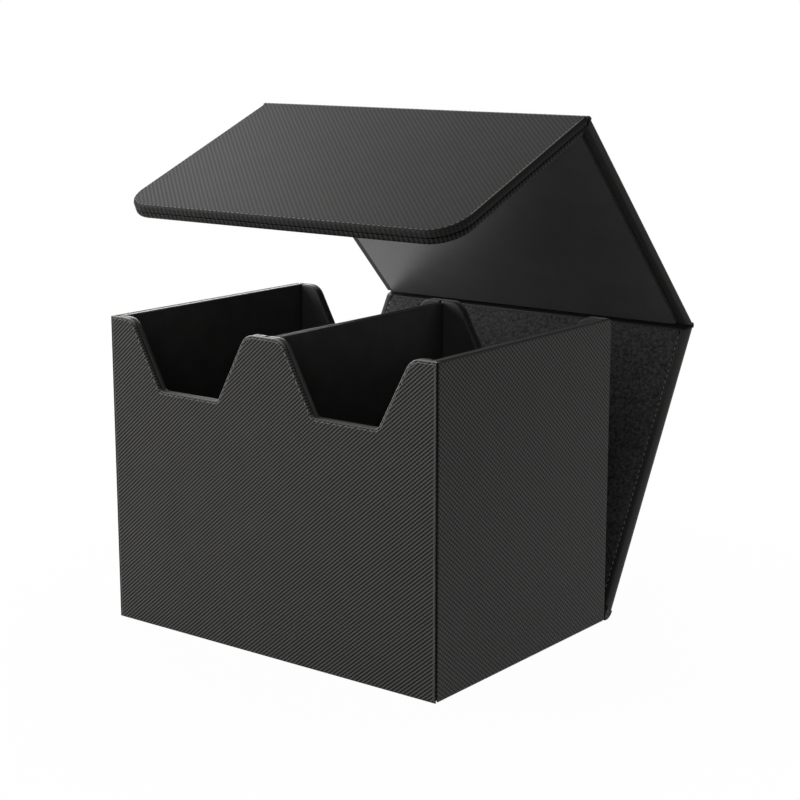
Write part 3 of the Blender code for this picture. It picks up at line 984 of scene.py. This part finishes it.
# %% [markdown]
# ## The flap
# The flap is two wrapped boards sewn together round the edge. One thick board would be quicker,
# but the line between the two shows along the edge. The outer one has a soft rolled rim, and the
# sewing sinks into it just inside. Both boards share one outline with two round corners. It
# starts behind the fold and is cut off there, so that end has no rolled rim.

# %% Flap
FLAP_CORNER_RADIUS = 0.0160
FLAP_SPARE = 0.006
FLAP_THICKNESS, FLAP_LINING_THICKNESS = 0.0035, 0.0030
FLAP_RISE, FLAP_LINING_RISE, SHARP = 0.0020, 0.0018, 0.0005
FLAP_ROLL, FLAP_ROLL_STEPS = 0.0012, 6
FLAP_LINING_START = 0.0074
flap_corners = [
    (-HALF_WIDTH, -FLAP_SPARE, 0),
    (HALF_WIDTH, -FLAP_SPARE, 0),
    (HALF_WIDTH, FLAP_LENGTH, FLAP_CORNER_RADIUS),
    (-HALF_WIDTH, FLAP_LENGTH, FLAP_CORNER_RADIUS),
]
flap = board(
    "flap_covered",
    flap_corners,
    FLAP_THICKNESS,
    rolled(FLAP_ROLL, FLAP_RISE, FLAP_ROLL_STEPS) + SEWN,
    rolled(SHARP, SHARP) + FLAT_RING,
    FLAP_RISE,
    SHARP,
)
trim_mitre(flap, 0, -1, FLAP_REACH, FLAP_THICKNESS)
settle(flap, FLAP_FRAME @ OUTWARDS, "front_flap", flap_weave, ["flap_panel"])
flap_under = board(
    "flap_lining_covered",
    flap_corners,
    FLAP_LINING_THICKNESS,
    rolled(SHARP, SHARP) + FLAT_RING,
    rolled(FLAP_ROLL, FLAP_LINING_RISE, FLAP_ROLL_STEPS) + SEWN,
    SHARP,
    FLAP_LINING_RISE,
)
trim(flap_under, (0, FLAP_LINING_START, 0), (0, -1, 0))
UNDER = FLAP_FRAME @ Matrix.Translation((0, 0, FLAP_THICKNESS + GAP)) @ OUTWARDS
settle(flap_under, UNDER, "front_flap", flap_under_weave, ["flap_lining"])

# %% [markdown]
# ## The flap's sewing
# One line of sewing goes round three sides of the flap. Its line is the flap's outline drawn in,
# so it keeps its distance from the edge round the corners too. It shows on both faces.

# %% Flap sewing
FLAP_SEAM = 0.00155
FLAP_PITCH, FLAP_STITCH, FLAP_INNER_LEVEL = 0.0028, 0.0018, 0.0067
SEAM_START = 0.008
seam = drawn_in(flap_corners, FLAP_SEAM)
seam = rounded(seam[1:] + seam[:1])
ends = [Vector((side * (HALF_WIDTH - FLAP_SEAM), SEAM_START)) for side in (1, -1)]
seam = [ends[0]] + [point for point in seam if point.y > 0] + [ends[1]]
row = sewing("flap_sewing", [seam], FLAP_PITCH, FLAP_STITCH, SEAM_LEVEL)
settle(row, FLAP_FRAME @ OUTWARDS, "front_flap", thread)
row = sewing("flap_inner_sewing", [seam], FLAP_PITCH, FLAP_STITCH, FLAP_INNER_LEVEL)
settle(row, FLAP_FRAME, "front_flap", thread)

# %% [markdown]
# ## The folds
# Between the boards only the covering is left, and it bends. Each fold is a strip whose section
# rounds the corner outside. A modifier could bend a flat strip, but a section that is drawn
# meets both boards exactly. The weave is laid on by a UV map, so that it follows the strip.

# %% Fold strips
OVERLAP = 0.0002
LEAST_RADIUS = 0.0003
ACROSS = Matrix(((0, 0, 1, 0), (1, 0, 0, 0), (0, 1, 0, 0), (0, 0, 0, 1)))


def unwrap(piece, corner, outgoing):
    """U runs across the case and V along the strip, in metres."""
    layer = piece.data.uv_layers.new(name="strip")
    for loop in piece.data.loops:
        place = piece.data.vertices[loop.vertex_index].co
        layer.data[loop.index].uv = (place.x, (place - corner).dot(outgoing))


def fold_strip(name, profile):
    """A closed section in YZ, drawn out across the case."""
    piece = flat_outline(name, profile)
    bpy.ops.mesh.extrude_region_move(TRANSFORM_OT_translate={"value": (0, 0, 2 * HALF_WIDTH)})
    bpy.ops.mesh.select_all(action="SELECT")
    bpy.ops.mesh.normals_make_consistent(inside=False)
    bpy.ops.transform.translate(value=(0, 0, -HALF_WIDTH))
    bpy.ops.object.mode_set(mode="OBJECT")
    return piece


def skin_profile(corner, incoming, outgoing, reach, radius):
    """The section of a covering that rounds a corner, from one board's end to the other's."""
    corner, incoming, outgoing = [Vector((v.y, v.z)) for v in (corner, incoming, outgoing)]
    start = corner - incoming * (reach - OVERLAP)
    end = corner + outgoing * (reach - OVERLAP)
    inside = [Vector((-v.y, v.x)) * SKIN for v in (incoming, outgoing)]
    inner_corner = corner + (inside[0] + inside[1]) / (1 + incoming.dot(outgoing))
    corners = [(*start, 0), (*corner, radius), (*end, 0)]
    corners += [(*(end + inside[1]), 0), (*inner_corner, max(radius - SKIN, LEAST_RADIUS))]
    return rounded(corners + [(*(start + inside[0]), 0)])


# %% [markdown]
# ## The folds' weave, and the two upper folds
# The weave on the folds is worked out from the strip's own UV map, which follows it. On
# Object coordinates the ridges would slide over the strip if it bent.

# %% Top fold and flap fold


def strip_weave(name):
    """The cover's weave, on a strip's UV map."""
    finish = Finish(name, CHARCOAL, roughness=0.5, specular=0.3)
    place = finish.node("ShaderNodeUVMap", {"uv_map": "strip"})
    u = finish.along(place, (1, 0, 0)) * (TURN * COVER_WAVES[0])
    v = finish.along(place, (0, 1, 0)) * (TURN * COVER_WAVES[1])
    ridge = (u - v).cosine() * 0.5 + 0.5
    height = ridge * 0.7 + finish.noise(place, GRAIN_SCALE, 1.0) * 0.3
    finish.set("Base Color", finish.colour(height, BLACK, CHARCOAL))
    finish.set("Roughness", 0.62 - height * 0.25)
    finish.bump(height, 0.00012, 0.7)
    return finish


fold_weave = strip_weave("fold weave")
REAR_WAY, TOP_WAY, FLAP_WAY = [
    panel.to_3x3() @ Vector((0, 1, 0)) for panel in (REAR_FRAME, TOP_FRAME, FLAP_FRAME)
]
top_fold = (TOP_CORNER, (REAR_WAY, TOP_WAY), TOP_REACH, TOP_RADIUS)
flap_fold = (FLAP_CORNER, (TOP_WAY, FLAP_WAY), FLAP_REACH, FLAP_RADIUS)
for name, (corner, ways, reach, radius), bodies in (
    ("top_fold", top_fold, ("rear_cover", "top_cover")),
    ("flap_fold", flap_fold, ("top_cover", "front_flap")),
):
    strip = fold_strip(name + "_skin", skin_profile(corner, *ways, reach, radius))
    settle(strip, ACROSS, None, fold_weave, [name])
    unwrap(strip, corner, ways[1])
    corner - ways[0] * reach
    corner + ways[1] * reach
    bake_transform(strip)

# %% [markdown]
# ## The foot
# At the foot the covering comes out from under the box, rounds the corner and goes up the rear
# panel. The flange glued under the base is a piece of its own.

# %% Foot fold and flange
BEHIND_WALL = HALF_DEPTH + GAP
SEAT_GAP, SEAT_START, FOOT_RISE = 0.0005, 0.0053, 0.0030
FLANGE_END = HALF_DEPTH - 0.0090
FLANGE_THICKNESS, FLANGE_ROLL, FLANGE_CORNER = 0.0010, 0.0004, 0.002
foot_seat = [
    REAR_FRAME @ Vector((0, along - SEAT_GAP, depth))
    for along, depth in ((FOOT_REACH, 0), (SKIN + MITRE, SKIN), (SEAT_START, FELT_FACE))
]
foot_corners = [(BEHIND_WALL, 0, 0), (REAR_CORNER.y, 0, FOOT_RADIUS)]
foot_corners += [(place.y, place.z, 0) for place in foot_seat]
foot_corners.append((BEHIND_WALL, FOOT_RISE, 0))
foot = fold_strip("foot_skin", rounded(foot_corners))
settle(foot, ACROSS, None, fold_weave, ["foot_fold"])
unwrap(foot, REAR_CORNER, REAR_WAY)
REAR_CORNER + REAR_WAY * FOOT_REACH
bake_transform(foot)

flange_half = HALF_WIDTH - WALL_THICKNESS - GAP
flange_corners = [
    (-flange_half, FLANGE_END, FLANGE_CORNER),
    (flange_half, FLANGE_END, FLANGE_CORNER),
    (flange_half, BEHIND_WALL, 0),
    (-flange_half, BEHIND_WALL, 0),
]
flange_rim = rolled(FLANGE_ROLL, FLANGE_ROLL)
flange = board(
    "foot_flange", flange_corners, FLANGE_THICKNESS, flange_rim, [], FLANGE_ROLL, 0
)
UNDER_BASE = Matrix.Translation((0, 0, FLANGE_THICKNESS))
settle(flange, UNDER_BASE, "box", underside, ["foot_fold"])

# %% [markdown]
# ## The floor
# The case stands on white paper. As a surface the paper is a pale grey that lights the case from
# below. To the camera it is mixed with plain white, a little less close to the case, where the
# soft shadow stays. Reflections see some of that white too, more of it on the bright side.

# %% Floor
FLOOR_SIZE = 8.0
PAPER_TONE = (0.62, 0.62, 0.62)
SHADOW_REACH = (0.10, 0.35)

bpy.ops.object.select_all(action="DESELECT")
bpy.ops.mesh.primitive_plane_add(size=FLOOR_SIZE, location=(0, 0, -0.0001))
floor = bpy.context.object
floor.name = "floor"
paper = Finish("floor paper", PAPER_TONE, 0.9, 0.2)
away = paper.node("ShaderNodeVectorMath", {"operation": "LENGTH"}, {0: paper.place()}, 1)
seen = paper.node("ShaderNodeLightPath", output="Is Camera Ray")
mirrored = paper.node("ShaderNodeLightPath", output="Is Glossy Ray")
white = paper.node("ShaderNodeEmission", None, {"Color": (1, 1, 1, 1), "Strength": 1.0})
bright_side = paper.along(paper.place(), (-1, 0, 0)).step(-0.5, 0.4)
in_view = seen * (away.step(*SHADOW_REACH) * 0.015 + 0.98)
share = in_view + mirrored * (bright_side * 0.6 + 0.35)
surface = paper.node(
    "ShaderNodeMixShader",
    None,
    {0: share, 1: Value(paper, paper.shader.outputs[0]), 2: white},
)
paper.tree.links.new(surface.socket, paper.tree.nodes["Material Output"].inputs[0])
floor.data.materials.append(paper.material)
print("floor", FLOOR_SIZE, "m across")

# %% [markdown]
# ## The room and its lamps
# The world is white to the camera. As a light it is dim, and brighter on the side that the
# photograph's light comes from, so that the black covering keeps its sheen there and its depth
# elsewhere. Four soft lamps add what the photograph's lamps do: a key light on the front, a
# small one near the flap, one behind for the satin, and one for the side.

# %% World and lamps
AIM = Vector((0, 0, 0.12))
world = bpy.data.worlds.new("studio")
bpy.context.scene.world = world
world.use_nodes = True
room = Recipe(world.node_tree)
background = room.tree.nodes["Background"]
background.inputs["Color"].default_value = (1, 1, 1, 1)
seen = room.node("ShaderNodeLightPath", output="Is Camera Ray")
heading = room.node("ShaderNodeTexCoord", output="Generated")
bright_side = room.along(heading, (-0.8, 0.5, 0.3)).step(-0.8, 0.9)
strength = seen + (1 - seen) * (bright_side * 0.45 + 0.11)
room.tree.links.new(strength.socket, background.inputs["Strength"])


def soft_lamp(name, place, size, power):
    """A square area lamp that shines at the middle of the case."""
    bpy.ops.object.light_add(type="AREA", location=place)
    lamp = bpy.context.object
    lamp.name = name
    lamp.data.size = size
    lamp.data.energy = power
    lamp.visible_camera = False
    way = AIM - Vector(place)
    lamp.rotation_euler = way.to_track_quat("-Z", "Y").to_euler()
    print(name, power, "W")


soft_lamp("key lamp", (-0.75, -0.60, 0.50), size=0.6, power=6)
soft_lamp("near lamp", (-0.36, 0.06, 0.48), size=0.25, power=0.41)
soft_lamp("back lamp", (-0.83, 1.02, 0.44), size=0.8, power=8)
soft_lamp("side lamp", (0.7, -1.5, 0.5), size=1.0, power=3.2)
bpy.context.scene.view_settings.view_transform = "Standard"
